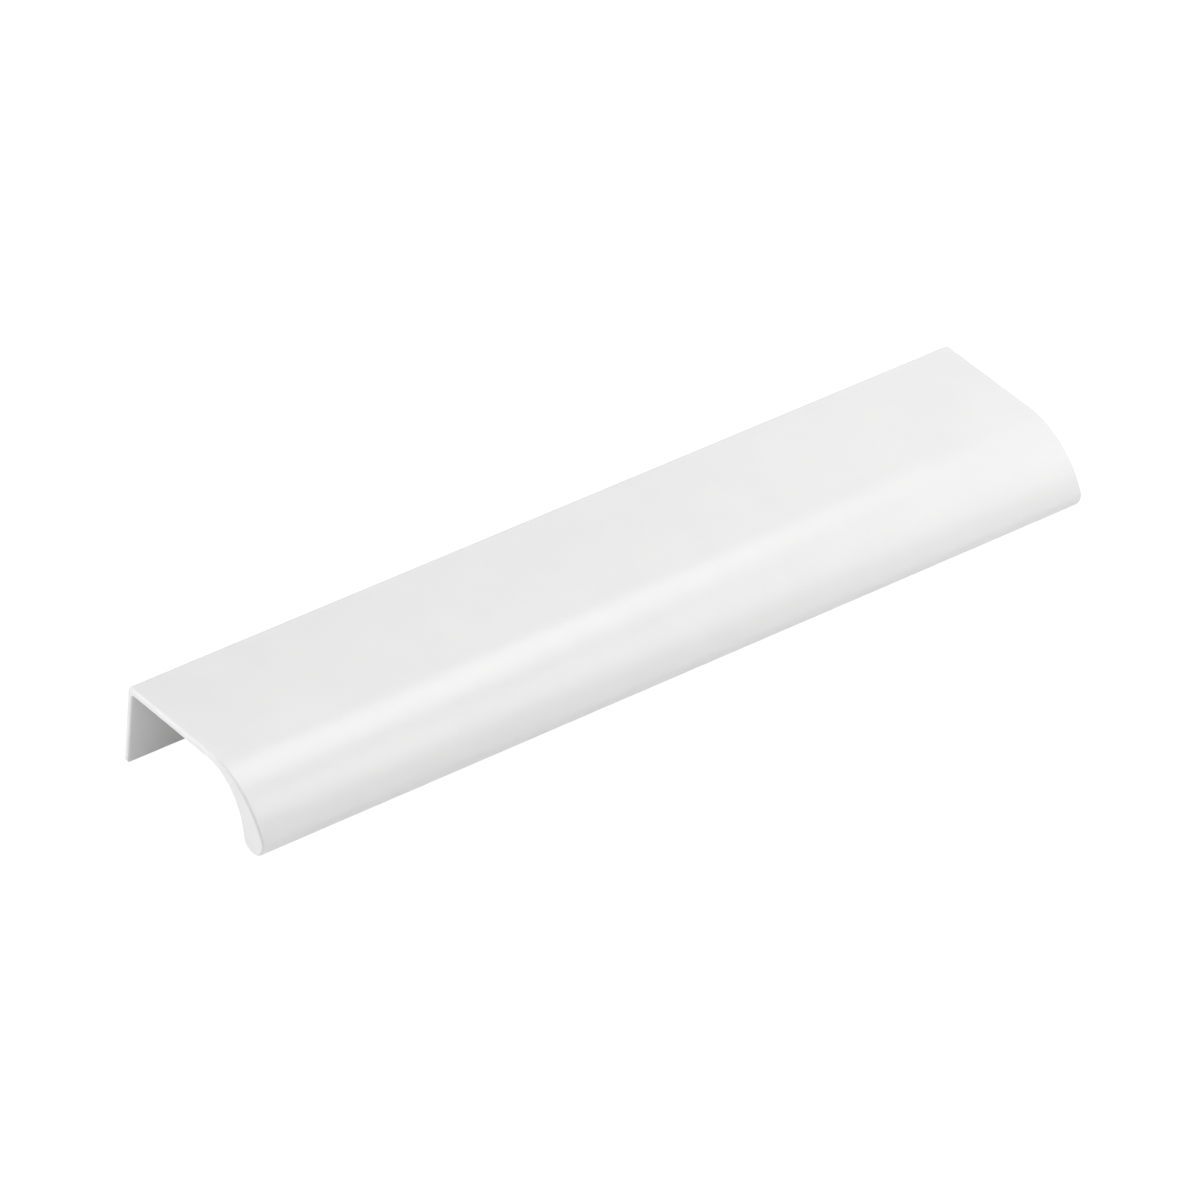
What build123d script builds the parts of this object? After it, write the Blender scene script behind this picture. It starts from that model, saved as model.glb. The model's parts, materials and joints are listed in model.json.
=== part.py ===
# Lip pull handle: one length of extruded aluminium for the edge of a cabinet door or drawer front.
# A thin flange screws to the back of the door, a flat web lies over the door's edge, and the lip
# bends down in front, thickening from the wall to a round bead that the fingers pull on.
# The handle lies as it does loose on a table: on the flange's foot and on the bead.
import os
from math import asin, atan2, cos, degrees, hypot, radians, sin, sqrt, tan

from build123d import *

# Driving dimensions, in millimetres and degrees
length = 200.0  # along the door's edge
depth = 42.0  # flange's back face to the front of the bead
flange_height = 17.1  # top of the web to the flange's foot
lip_drop = 14.5  # top of the web to the bottom of the bead
wall = 1.5  # flange and web
bead_radius = 3.05  # round end of the lip
bend_radius = 19.4  # outside of the lip
throat_radius = 10.5  # inside of the bend, where the wall starts to thicken
throat_turn = 36.0  # angle that the throat's arc turns
hollow_radius = 14.0  # back of the lip, from the throat to the bead
heel_radius = 0.7  # outside corner of flange and web
seat_radius = 0.5  # inside corner of flange and web
edge_radius = 0.5  # cut ends and the flange's foot, softened before coating
screw_spacing = 160.0  # between the screw holes' centres
screw_drop = 10.0  # top of the web to the screw holes' centres
screw_diameter = 4.2  # clearance for the screw's shank
screw_land = 0.5  # straight part of the hole, left beside the door
sink_angle = 90.0  # countersink for the screw's head

# The section's x runs forward from the flange's back face, and its y runs up from the top of the web.
# Both faces of the lip are tangent arcs that end on the bead's circle.
bead_x = depth - bead_radius
bead_y = bead_radius - lip_drop

# The outside arc wraps the bead, so their centres lie a difference of radii apart
bend_y = -bend_radius
bend_x = bead_x - sqrt((bend_radius - bead_radius) ** 2 - (bead_y - bend_y) ** 2)
bend_end = degrees(atan2(bead_y - bend_y, bead_x - bend_x))

# The hollow arc meets the bead from outside, so their centres lie a sum of radii apart
throat_end = 90 - throat_turn
throat_y = -wall - throat_radius
hollow_y = throat_y + (throat_radius - hollow_radius) * sin(radians(throat_end))
hollow_x = bead_x - sqrt((hollow_radius + bead_radius) ** 2 - (bead_y - hollow_y) ** 2)
throat_x = hollow_x - (throat_radius - hollow_radius) * cos(radians(throat_end))
hollow_end = degrees(atan2(bead_y - hollow_y, bead_x - hollow_x))

# The floor touches the bead and the rounded foot, which sets how far the handle leans forward
foot_x = wall - edge_radius
foot_y = edge_radius - flange_height
span = hypot(bead_x - foot_x, bead_y - foot_y)
lean = atan2(bead_y - foot_y, bead_x - foot_x) - asin((bead_radius - edge_radius) / span)

# The origin is on the floor, midway between the bead's front and the back of the foot
front_reach = bead_x * cos(lean) + bead_y * sin(lean) + bead_radius
back_reach = edge_radius - edge_radius * cos(lean) - foot_y * sin(lean)
rise = bead_radius + bead_x * sin(lean) - bead_y * cos(lean)
section_plane = Plane(
    origin=(0, (front_reach - back_reach) / 2, rise),
    x_dir=(0, -cos(lean), -sin(lean)),
    z_dir=(-1, 0, 0),
)
upward = Axis(section_plane.origin, section_plane.y_dir)

# The screw heads sink into the flange's back face
screw_plane = Plane(
    origin=section_plane.from_local_coords((0, -screw_drop)),
    x_dir=(1, 0, 0),
    z_dir=-section_plane.x_dir,
)
sink_radius = screw_diameter / 2 + (wall - screw_land) * tan(radians(sink_angle / 2))

with BuildPart() as lip_pull:
    with BuildSketch(section_plane) as section:
        with BuildLine():
            # Outside of the lip, the bead, the hollow back of the lip, and the throat
            outside = CenterArc((bend_x, bend_y), bend_radius, 90, bend_end - 90)
            bead = CenterArc((bead_x, bead_y), bead_radius, bend_end, hollow_end - 180 - bend_end)
            hollow = CenterArc((hollow_x, hollow_y), hollow_radius, hollow_end, throat_end - hollow_end)
            throat = CenterArc((throat_x, throat_y), throat_radius, throat_end, throat_turn)
            # Underside of the web, round the flange, and back along the top
            Polyline(
                throat @ 1,
                (wall, -wall),
                (wall, -flange_height),
                (0, -flange_height),
                (0, 0),
                outside @ 0,
            )
        make_face()
        corners = section.vertices()
        fillet(corners.sort_by_distance(section_plane.from_local_coords((0, 0)))[0], heel_radius)
        fillet(corners.sort_by_distance(section_plane.from_local_coords((wall, -wall)))[0], seat_radius)
    extrude(amount=length / 2, both=True)

    # Every edge round the cut ends and along the foot
    foot = lip_pull.faces().filter_by(upward).sort_by(upward)[0]
    ends = lip_pull.faces().filter_by(Axis.X)
    fillet(ends.edges() + foot.edges().filter_by(Axis.X), edge_radius)

    with Locations(screw_plane):
        with GridLocations(screw_spacing, 0, 2, 1):
            CounterSinkHole(screw_diameter / 2, sink_radius, 2 * wall, sink_angle)

lip_pull.part.label = "lip_pull"

os.makedirs("parts", exist_ok=True)
export_step(lip_pull.part, "parts/lip_pull.step")

box = lip_pull.part.bounding_box()
print(f"lean {degrees(lean):.3f} degrees, volume {lip_pull.part.volume:.1f} mm3")
print(f"box {box.min} to {box.max}")
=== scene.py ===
import json
from math import atan2, cos, degrees, pi, radians, sin, sqrt

import bpy
import numpy as np
from mathutils import Matrix, Vector


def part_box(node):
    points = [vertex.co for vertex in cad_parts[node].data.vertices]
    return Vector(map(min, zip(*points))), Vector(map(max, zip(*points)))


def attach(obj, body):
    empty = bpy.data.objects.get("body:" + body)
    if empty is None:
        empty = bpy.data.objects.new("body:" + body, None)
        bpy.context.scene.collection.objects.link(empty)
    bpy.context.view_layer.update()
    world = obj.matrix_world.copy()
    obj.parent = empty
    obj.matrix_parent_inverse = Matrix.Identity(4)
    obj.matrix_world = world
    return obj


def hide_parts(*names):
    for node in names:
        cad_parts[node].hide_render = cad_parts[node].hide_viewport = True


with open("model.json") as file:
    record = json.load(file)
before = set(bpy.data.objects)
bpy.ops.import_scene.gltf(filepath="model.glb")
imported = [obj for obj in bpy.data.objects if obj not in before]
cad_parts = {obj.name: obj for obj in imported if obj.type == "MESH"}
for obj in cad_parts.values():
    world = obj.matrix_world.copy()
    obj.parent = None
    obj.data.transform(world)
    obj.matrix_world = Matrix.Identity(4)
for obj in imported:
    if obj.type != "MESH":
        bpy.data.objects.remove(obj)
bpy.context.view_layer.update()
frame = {"nodes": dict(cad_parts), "record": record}
mounts = {m["name"]: m for m in frame["record"]["mounts"]}
mm = 0.001
print("frame loaded:", sorted(frame["nodes"]))


# The coated handle. Sizes in millimetres, as the solid has them
pullSpec = dict(
    depth=42.0,            # flange's back face to the front of the bead
    flangeHeight=17.1,     # top of the web to the flange's foot
    lipDrop=14.5,          # top of the web to the bottom of the bead
    wall=1.5,
    beadRadius=3.05,
    bendRadius=19.4,       # outside of the lip
    throatRadius=10.5,     # inside of the bend
    throatTurn=36.0,       # degrees
    hollowRadius=14.0,     # back of the lip, down to the bead
    heelRadius=0.7,        # outside corner of flange and web
    seatRadius=0.5,        # inside corner of flange and web
    edgeRadius=0.5,        # cut ends and foot
    screwDrop=10.0,        # top of the web to the holes' centres
    screwLand=0.5,         # straight part of a hole
    lipOfCoat=0.12,        # coat rounding the holes' edges
    holeWindow=4.5,        # half of the square patch round a hole
)
pullGrid = dict(foot=9, flange=4, window=16, corner=9, web=12, bend=44, bead=26, straight=7, rim=10, ring=5)


# Circle run: centre plus radius times (cos, sin), with the way out of the metal, which is reversed on a
# hollow arc
def arcRun(centre, radius, start, end, count, outward=1):
    angle = np.radians(np.linspace(start, end, count))
    ring = np.stack([np.cos(angle), np.sin(angle)], 1)
    return np.hstack([np.array(centre) + radius * ring, outward * ring])


# Straight run: start and end mixed by each station's share, with one way out for all
def lineRun(start, end, shares, out):
    share = np.asarray(shares)[:, None]
    points = (1 - share) * np.array(start) + share * np.array(end)
    return np.hstack([points, np.broadcast_to(np.array(out, float), points.shape)])


# Runs laid end to end, each without its last point, which the next one starts with
def joinRuns(runs):
    return np.vstack([run[:-1] for run in runs[:-1]] + [runs[-1]])


# Section of the handle, forward and up: a back chain and a front chain of equal counts, both from the foot
# to the bead's tip
def pullChains(p, g):
    beadX, beadY = p["depth"] - p["beadRadius"], p["beadRadius"] - p["lipDrop"]
    wall, foot, edge = p["wall"], -p["flangeHeight"], p["edgeRadius"]

    # the outside arc wraps the bead, so their centres lie a difference of radii apart
    bendY = -p["bendRadius"]
    bendX = beadX - sqrt((p["bendRadius"] - p["beadRadius"]) ** 2 - (beadY - bendY) ** 2)
    bendEnd = degrees(atan2(beadY - bendY, beadX - bendX))

    # the hollow arc meets the bead from outside, so their centres lie a sum of radii apart
    throatEnd = 90 - p["throatTurn"]
    throatY = -wall - p["throatRadius"]
    swell = p["throatRadius"] - p["hollowRadius"]
    hollowY = throatY + swell * sin(radians(throatEnd))
    hollowX = beadX - sqrt((p["hollowRadius"] + p["beadRadius"]) ** 2 - (beadY - hollowY) ** 2)
    throatX = hollowX - swell * cos(radians(throatEnd))
    hollowEnd = degrees(atan2(beadY - hollowY, beadX - hollowX))
    tipAngle = (bendEnd + hollowEnd - 180) / 2

    # stations up the flange: even below the screw window, by equal angles in it, even above
    low, high = foot + edge, -p["screwDrop"] + p["holeWindow"]
    windowY = -p["screwDrop"] + p["holeWindow"] * np.tan(np.linspace(-pi / 4, pi / 4, g["window"] + 1))
    below = np.linspace(low, windowY[0], g["flange"])[:-1]

    def upFlange(top):
        above = np.linspace(high, top, g["flange"])[1:]
        return (np.concatenate([below, windowY, above]) - low) / (top - low)

    web = np.linspace(0, 1, g["web"])
    heel, seat = p["heelRadius"], p["seatRadius"]
    half = g["bend"] // 2
    back = joinRuns([
        arcRun((edge, low), edge, -90, -180, g["foot"]),
        lineRun((0, low), (0, -heel), upFlange(-heel), (-1, 0)),
        arcRun((heel, -heel), heel, 180, 90, g["corner"]),
        lineRun((heel, 0), (bendX, 0), web, (0, 1)),
        arcRun((bendX, bendY), p["bendRadius"], 90, bendEnd, g["bend"]),
        arcRun((beadX, beadY), p["beadRadius"], bendEnd, tipAngle, g["bead"]),
    ])
    front = joinRuns([
        arcRun((wall - edge, low), edge, -90, 0, g["foot"]),
        lineRun((wall, low), (wall, -wall - seat), upFlange(-wall - seat), (1, 0)),
        arcRun((wall + seat, -wall - seat), seat, 180, 90, g["corner"], -1),
        lineRun((wall + seat, -wall), (throatX, -wall), web, (0, -1)),
        arcRun((throatX, throatY), p["throatRadius"], 90, throatEnd, half, -1),
        arcRun((hollowX, hollowY), p["hollowRadius"], throatEnd, hollowEnd, g["bend"] - half + 1, -1),
        arcRun((beadX, beadY), p["beadRadius"], hollowEnd - 180, tipAngle, g["bead"]),
    ])
    return back, front


# Stations along the handle: place, and the rim's turn towards the end, zero on the straight part.
# Each end goes over a quarter circle of the edge's radius.
def endToEnd(p, g, halfLength, holeX):
    window = p["holeWindow"] * np.tan(np.linspace(-pi / 4, pi / 4, g["window"] + 1))
    inner = np.linspace(0, holeX + window[0], g["straight"] * 2)
    outer = np.linspace(holeX + window[-1], halfLength - p["edgeRadius"], g["straight"])
    straight = np.concatenate([inner, (holeX + window)[1:], outer[1:]])
    rim = np.linspace(0, pi / 2, g["rim"])[1:]
    x = np.concatenate([straight, halfLength - p["edgeRadius"] * (1 - np.sin(rim))])
    turn = np.concatenate([np.zeros(len(straight)), rim])
    return np.concatenate([-x[:0:-1], x]), np.concatenate([-turn[:0:-1], turn])


# Body: point = section minus its way out times edge radius times (1 - cos turn), at each station, and the
# way out turns to the end by sin turn
def pullBody(p, loop, x, turn):
    shape = (len(x), len(loop))
    inset = p["edgeRadius"] * (1 - np.cos(turn))[:, None, None]
    flat = loop[None, :, :2] - inset * loop[None, :, 2:]
    points = np.concatenate([np.broadcast_to(x[:, None, None], shape + (1,)), flat], -1)
    out = np.concatenate([np.broadcast_to(np.sin(turn)[:, None, None], shape + (1,)),
                          np.cos(turn)[:, None, None] * loop[None, :, 2:]], -1)
    return points, out


# Hole: rings round the screw's axis. From the square patch on the back face in to the countersink, down its
# cone and the land, and out again to the square on the front face: radius = mix of square and circle.
def screwHole(p, g, holeX, holeRadius):
    coat, wall = p["lipOfCoat"], p["wall"]
    sinkDepth = wall - p["screwLand"]
    mouth, slant = holeRadius + sinkDepth, sqrt(0.5)
    bendOut, bendDown = coat * 0.2, coat * 0.15        # middle of the coat's bend into the cone
    coneStop, landStart = coat * 0.5, coat * 0.3       # coat's bend from the cone into the land
    halfBend = pi / 8
    angle = np.linspace(0, 2 * pi, 4 * g["window"], endpoint=False)
    square = p["holeWindow"] / np.maximum(np.abs(np.cos(angle)), np.abs(np.sin(angle)))
    # rows: share of circle, radius, depth in the wall, way out along the radius, way out forward
    spread = np.linspace(0, 1, g["ring"])
    rows = [(share, mouth + coat, 0, 0, -1) for share in spread]
    rows += [(1, mouth + bendOut, bendDown, -sin(halfBend), -cos(halfBend)),
             (1, mouth - coat * slant, coat * slant, -slant, -slant),
             (1, holeRadius + coneStop, sinkDepth - coneStop, -slant, -slant),
             (1, holeRadius, sinkDepth + landStart, -1, 0),
             (1, holeRadius, wall - coat, -1, 0),
             (1, holeRadius + coat * (1 - slant), wall - coat * (1 - slant), -slant, slant)]
    rows += [(share, holeRadius + coat, wall, 0, 1) for share in spread[::-1]]
    share, radius, depth, outR, outU = [column[:, None] for column in np.array(rows, float).T]
    reach = (1 - share) * square + share * radius
    ones = np.ones_like(reach)
    along, up = holeX + reach * np.cos(angle), -p["screwDrop"] + reach * np.sin(angle)
    points = np.stack([along, depth * ones, up], -1)
    out = np.stack([outR * np.cos(angle), outU * ones, outR * np.sin(angle)], -1)
    return points, out


# Quads of a grid of rows by columns, the columns closed into a ring
def ringQuads(rows, columns, first=0):
    r, c = np.meshgrid(np.arange(rows - 1), np.arange(columns), indexing="ij")
    after = (c + 1) % columns
    return first + np.stack([r * columns + c, r * columns + after,
                             (r + 1) * columns + after, (r + 1) * columns + c], -1)


# Corners at one place become one vertex, each face is turned to its corners' way out, and a quad that lost a
# corner becomes a triangle, or goes if it lost two
def weld(points, out, quads):
    onePlace = 1e-8    # metres
    keys = np.round(points / onePlace).astype(np.int64)
    first, same = np.unique(keys, axis=0, return_index=True, return_inverse=True)[1:]
    points, out, quads = points[first], out[first], same.reshape(-1)[quads]
    out = out / np.linalg.norm(out, axis=1)[:, None]
    across = np.cross(points[quads[:, 2]] - points[quads[:, 0]], points[quads[:, 3]] - points[quads[:, 1]])
    wrong = (across * out[quads].sum(1)).sum(1) < 0
    quads[wrong] = quads[wrong][:, ::-1]
    new = quads != np.roll(quads, 1, axis=1)    # corners that differ from the one before
    whole, narrow = new.all(1), new.sum(1) == 3
    triangles = quads[narrow][new[narrow]].reshape(-1, 3)
    return points, out, quads[whole].tolist() + triangles.tolist()


# From the section's forward and up, in millimetres, to the frame, whose two seats give directions and place
def intoFrame(points, wall, moved=True):
    forward = np.array(mounts["door_back_seat"]["axis"])
    upward = -np.array(mounts["door_edge_seat"]["axis"])
    turned = points[:, :1] * np.array([[1.0, 0, 0]]) + points[:, 1:2] * forward + points[:, 2:] * upward
    if not moved:
        return turned
    backSeat = np.dot(mounts["door_back_seat"]["pos_m"], forward) / mm - wall
    edgeSeat = np.dot(mounts["door_edge_seat"]["pos_m"], upward) / mm + wall
    return (turned + backSeat * forward + edgeSeat * upward) * mm


# Handle: body, end faces and holes, welded into one closed mesh with its true ways out as normals
def makePull(p, g):
    screws = mounts["screw_holes"]["dims"]
    holeX, holeRadius = screws["pcd_mm"] / 2, screws["hole_r_mm"]
    low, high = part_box("lip_pull")
    halfLength = (high.x - low.x) / 2 / mm
    back, front = pullChains(p, g)
    loop = np.vstack([back, front[-2::-1]])
    x, turn = endToEnd(p, g, halfLength, holeX)
    body, bodyOut = pullBody(p, loop, x, turn)
    bodyQuads = ringQuads(len(x), len(loop))

    # the square patches of the flange's two faces are left open for the holes
    slack = 1.0001    # so that rounding leaves a patch's own border in it
    reach = p["holeWindow"] * slack
    inX = np.abs(np.abs(x) - holeX) < reach
    inZ = (np.abs(loop[:, 1] + p["screwDrop"]) < reach) & (loop[:, 0] <= p["wall"] * slack)
    opened = (inX[:-1] & inX[1:])[:, None] & (inZ & np.roll(inZ, -1))[None]
    bodyQuads = bodyQuads[~opened]

    # end faces: a ladder from the back chain to the front chain
    rung = np.arange(len(back) - 1)
    other = len(loop) - 1 - rung
    ladder = np.stack([rung, rung + 1, np.maximum(other - 1, len(back) - 1), other], -1)
    ends = np.vstack([ladder, ladder + (len(x) - 1) * len(loop)])

    points, out, quads = [body.reshape(-1, 3)], [bodyOut.reshape(-1, 3)], [bodyQuads.reshape(-1, 4), ends]
    for side in (-1, 1):
        hole, holeOut = screwHole(p, g, side * holeX, holeRadius)
        quads.append(ringQuads(*hole.shape[:2], first=sum(map(len, points))).reshape(-1, 4))
        points.append(hole.reshape(-1, 3))
        out.append(holeOut.reshape(-1, 3))
    points, out = intoFrame(np.vstack(points), p["wall"]), intoFrame(np.vstack(out), p["wall"], moved=False)
    points, out, faces = weld(points, out, np.vstack(quads))

    mesh = bpy.data.meshes.new("lipPullCoated")
    mesh.from_pydata(points.tolist(), [], faces)
    mesh.shade_smooth()
    mesh.normals_split_custom_set_from_vertices(out.tolist())
    mesh.update()
    piece = bpy.data.objects.new("lipPullCoated", mesh)
    bpy.context.scene.collection.objects.link(piece)
    print("handle:", len(mesh.vertices), "vertices,", len(mesh.polygons), "faces")
    return piece


# Small helpers for node trees
def addNode(tree, kind, **settings):
    node = tree.nodes.new(kind)
    for name, value in settings.items():
        setattr(node, name, value)
    return node


def setInputs(node, **values):
    for name, value in values.items():
        node.inputs[name].default_value = value


# White powder coat: semi-gloss, faintly uneven in colour and gloss, with a fine orange peel
coatSpec = dict(
    paleColour=(0.845, 0.845, 0.842, 1),
    deepColour=(0.825, 0.826, 0.824, 1),
    roughLow=0.290,
    roughHigh=0.310,
    ior=1.5,
    noiseLow=0.3,            # at and below it, the deep colour or the low roughness
    noiseHigh=0.7,           # at and above it, the pale colour or the high roughness
    cloud=dict(Scale=70.0, Detail=3.0, Roughness=0.55),
    peel=dict(Scale=620.0, Detail=2.0, Roughness=0.4),
    grain=dict(Scale=2600.0, Detail=1.0, Roughness=0.5),
    grainShare=0.25,         # grain's height, as a share of the peel's
    peelHeight=0.0000006,    # metres
)


def powderCoat(c):
    material = bpy.data.materials.new("powderCoat")
    material.use_nodes = True
    tree = material.node_tree
    tree.nodes.clear()
    link = tree.links.new
    output = addNode(tree, "ShaderNodeOutputMaterial")
    shader = addNode(tree, "ShaderNodeBsdfPrincipled")
    link(shader.outputs["BSDF"], output.inputs["Surface"])
    place = addNode(tree, "ShaderNodeTexCoord").outputs["Object"]

    cloud = addNode(tree, "ShaderNodeTexNoise")
    link(place, cloud.inputs["Vector"])
    setInputs(cloud, **c["cloud"])
    tint = addNode(tree, "ShaderNodeValToRGB")
    deep, pale = tint.color_ramp.elements
    deep.position, deep.color = c["noiseLow"], c["deepColour"]
    pale.position, pale.color = c["noiseHigh"], c["paleColour"]
    link(cloud.outputs["Fac"], tint.inputs["Fac"])
    link(tint.outputs["Color"], shader.inputs["Base Color"])

    peel = addNode(tree, "ShaderNodeTexNoise")
    link(place, peel.inputs["Vector"])
    setInputs(peel, **c["peel"])
    gloss = addNode(tree, "ShaderNodeMapRange")
    setInputs(gloss, **{"From Min": c["noiseLow"], "From Max": c["noiseHigh"],
                        "To Min": c["roughLow"], "To Max": c["roughHigh"]})
    link(peel.outputs["Fac"], gloss.inputs["Value"])
    link(gloss.outputs["Result"], shader.inputs["Roughness"])

    grain = addNode(tree, "ShaderNodeTexNoise")
    link(place, grain.inputs["Vector"])
    setInputs(grain, **c["grain"])
    height = addNode(tree, "ShaderNodeMath", operation="MULTIPLY_ADD")
    link(grain.outputs["Fac"], height.inputs[0])
    height.inputs[1].default_value = c["grainShare"]
    link(peel.outputs["Fac"], height.inputs[2])
    bump = addNode(tree, "ShaderNodeBump")
    setInputs(bump, Strength=1.0, Distance=c["peelHeight"])
    link(height.outputs[0], bump.inputs["Height"])
    link(bump.outputs["Normal"], shader.inputs["Normal"])
    shader.inputs["IOR"].default_value = c["ior"]
    return material


pull = makePull(pullSpec, pullGrid)
pull.data.materials.append(powderCoat(coatSpec))
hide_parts("lip_pull")
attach(pull, "root")
print("powder coat on the handle")


# Share of rays that see the plain white ground: those of the camera, of gloss and of glass
def seenDirectly(tree):
    path = addNode(tree, "ShaderNodeLightPath")
    total = path.outputs["Is Camera Ray"]
    for name in ("Is Glossy Ray", "Is Transmission Ray"):
        larger = addNode(tree, "ShaderNodeMath", operation="MAXIMUM")
        tree.links.new(total, larger.inputs[0])
        tree.links.new(path.outputs[name], larger.inputs[1])
        total = larger.outputs[0]
    return total


# White studio: an even sky, and a pale floor that keeps the handle's shadow
studio = dict(skyLevel=0.02, floorSize=8.0, floorColour=(0.86, 0.86, 0.86, 1),
              floorLift=0.94, floorShade=0.3)    # light of its own, and the grey that is lit


def makeSky(s):
    world = bpy.data.worlds.new("studioSky")
    bpy.context.scene.world = world
    world.use_nodes = True
    tree = world.node_tree
    tree.nodes.clear()
    shown = addNode(tree, "ShaderNodeBackground")
    setInputs(shown, Color=(1, 1, 1, 1), Strength=1.0)
    lit = addNode(tree, "ShaderNodeBackground")
    setInputs(lit, Color=(1, 1, 1, 1), Strength=s["skyLevel"])
    mix = addNode(tree, "ShaderNodeMixShader")
    tree.links.new(seenDirectly(tree), mix.inputs[0])
    tree.links.new(lit.outputs[0], mix.inputs[1])
    tree.links.new(shown.outputs[0], mix.inputs[2])
    tree.links.new(mix.outputs[0], addNode(tree, "ShaderNodeOutputWorld").inputs["Surface"])


# One square, seen only from above. Seen directly it is part light of its own and part lit, so that only the
# shadow shows
def makeFloor(s):
    half = s["floorSize"] / 2
    corners = np.array([[-1, -1, 0], [1, -1, 0], [1, 1, 0], [-1, 1, 0]]) * half
    mesh = bpy.data.meshes.new("floor")
    mesh.from_pydata(corners.tolist(), [], [[0, 1, 2, 3]])
    floor = bpy.data.objects.new("floor", mesh)
    bpy.context.scene.collection.objects.link(floor)
    material = bpy.data.materials.new("paleFloor")
    material.use_nodes = True
    mesh.materials.append(material)
    tree = material.node_tree
    tree.nodes.clear()
    plain = addNode(tree, "ShaderNodeBsdfDiffuse")
    plain.inputs["Color"].default_value = s["floorColour"]
    shaded = addNode(tree, "ShaderNodeBsdfDiffuse")
    shaded.inputs["Color"].default_value = (s["floorShade"],) * 3 + (1,)
    lifted = addNode(tree, "ShaderNodeEmission")
    setInputs(lifted, Color=(1, 1, 1, 1), Strength=s["floorLift"])
    white = addNode(tree, "ShaderNodeAddShader")
    tree.links.new(shaded.outputs[0], white.inputs[0])
    tree.links.new(lifted.outputs[0], white.inputs[1])
    bySight = addNode(tree, "ShaderNodeMixShader")
    tree.links.new(seenDirectly(tree), bySight.inputs[0])
    tree.links.new(plain.outputs[0], bySight.inputs[1])
    tree.links.new(white.outputs[0], bySight.inputs[2])
    fromBelow = addNode(tree, "ShaderNodeMixShader")
    tree.links.new(addNode(tree, "ShaderNodeNewGeometry").outputs["Backfacing"], fromBelow.inputs[0])
    tree.links.new(bySight.outputs[0], fromBelow.inputs[1])
    tree.links.new(addNode(tree, "ShaderNodeBsdfTransparent").outputs[0], fromBelow.inputs[2])
    tree.links.new(fromBelow.outputs[0], addNode(tree, "ShaderNodeOutputMaterial").inputs["Surface"])


# Turn of a thing aimed at the handle, from azimuth, elevation and roll in degrees: its own axes, which point
# to the right, up, and away from the handle
def aim(azimuth, elevation, roll):
    a, e, r = radians(azimuth), radians(elevation), radians(roll)
    away = Vector((sin(a) * cos(e), -cos(a) * cos(e), sin(e)))
    level = Vector((cos(a), sin(a), 0))
    upright = away.cross(level)
    return level * cos(r) + upright * sin(r), upright * cos(r) - level * sin(r), away


def putThere(thing, right, up, away, place):
    thing.matrix_world = Matrix.Translation(place) @ Matrix((right, up, away)).transposed().to_4x4()
    bpy.context.scene.collection.objects.link(thing)


# Soft boxes that face the handle: azimuth, elevation and roll in degrees, the rest in metres and watts.
# Each is aimed at the point that lies its shift along the handle, at one height for all
boxAimHeight = 0.012
softBoxes = dict(
    overheadRight=dict(azimuth=83.0, elevation=60.7, distance=0.960, width=0.252, height=0.510, roll=88.0,
                       shift=-0.023, power=2.0),
    frontRight=dict(azimuth=45.0, elevation=35.0, distance=0.280, width=0.340, height=0.160, roll=-20.0,
                    shift=0.03, power=0.355),
    backRight=dict(azimuth=127.9, elevation=47.7, distance=0.368, width=0.336, height=0.180, roll=55.0,
                   shift=-0.034, power=0.138),
    frontLeft=dict(azimuth=-53.6, elevation=35.9, distance=0.250, width=0.298, height=0.124, roll=174.0,
                   shift=0.01, power=0.152),
    frontHigh=dict(azimuth=20.0, elevation=45.0, distance=0.600, width=0.300, height=0.300, roll=0.0,
                   shift=0.0, power=0.438),
    backHigh=dict(azimuth=-160.0, elevation=47.0, distance=0.600, width=0.300, height=0.200, roll=0.0,
                  shift=0.0, power=1.17),
    backStrip=dict(azimuth=-130.0, elevation=5.0, distance=0.600, width=0.500, height=0.100, roll=0.0,
                   shift=0.0, power=1.79),
    cameraSide=dict(azimuth=-40.0, elevation=15.0, distance=0.500, width=0.300, height=0.200, roll=0.0,
                    shift=0.0, power=0.15),
)


def makeSoftBox(name, b):
    right, up, away = aim(b["azimuth"], b["elevation"], b["roll"])
    lamp = bpy.data.lights.new(name, "AREA")
    lamp.shape = "RECTANGLE"
    lamp.size, lamp.size_y, lamp.energy = b["width"], b["height"], b["power"]
    box = bpy.data.objects.new(name, lamp)
    box.visible_camera = False
    putThere(box, right, up, away, Vector((b["shift"], 0, boxAimHeight)) + away * b["distance"])


# Camera of the photograph: a long lens, aimed beside the target, which so lies at its place in the picture
viewSpec = dict(azimuth=-40.0895, elevation=33.0164, roll=1.6624, distance=2.13665, lensPx=11292.1,
                framePx=1200, sensor=36.0, targetHeight=0.009, targetPx=(612.764, 592.386), farthest=100.0)


def makeCamera(v):
    right, up, away = aim(v["azimuth"], v["elevation"], v["roll"])
    lens = bpy.data.cameras.new("photoCamera")
    lens.sensor_width, lens.lens = v["sensor"], v["lensPx"] / v["framePx"] * v["sensor"]
    lens.clip_end = v["farthest"]
    aside, above = [(px - v["framePx"] / 2) * v["distance"] / v["lensPx"] for px in v["targetPx"]]
    camera = bpy.data.objects.new("photoCamera", lens)
    putThere(camera, right, up, away,
             Vector((0, 0, v["targetHeight"])) + away * v["distance"] - right * aside + up * above)
    bpy.context.scene.camera = camera


makeSky(studio)
makeFloor(studio)
for boxName, boxSpec in softBoxes.items():
    makeSoftBox(boxName, boxSpec)
makeCamera(viewSpec)
bpy.context.scene.view_settings.view_transform = "Standard"
print("studio, soft boxes and camera")
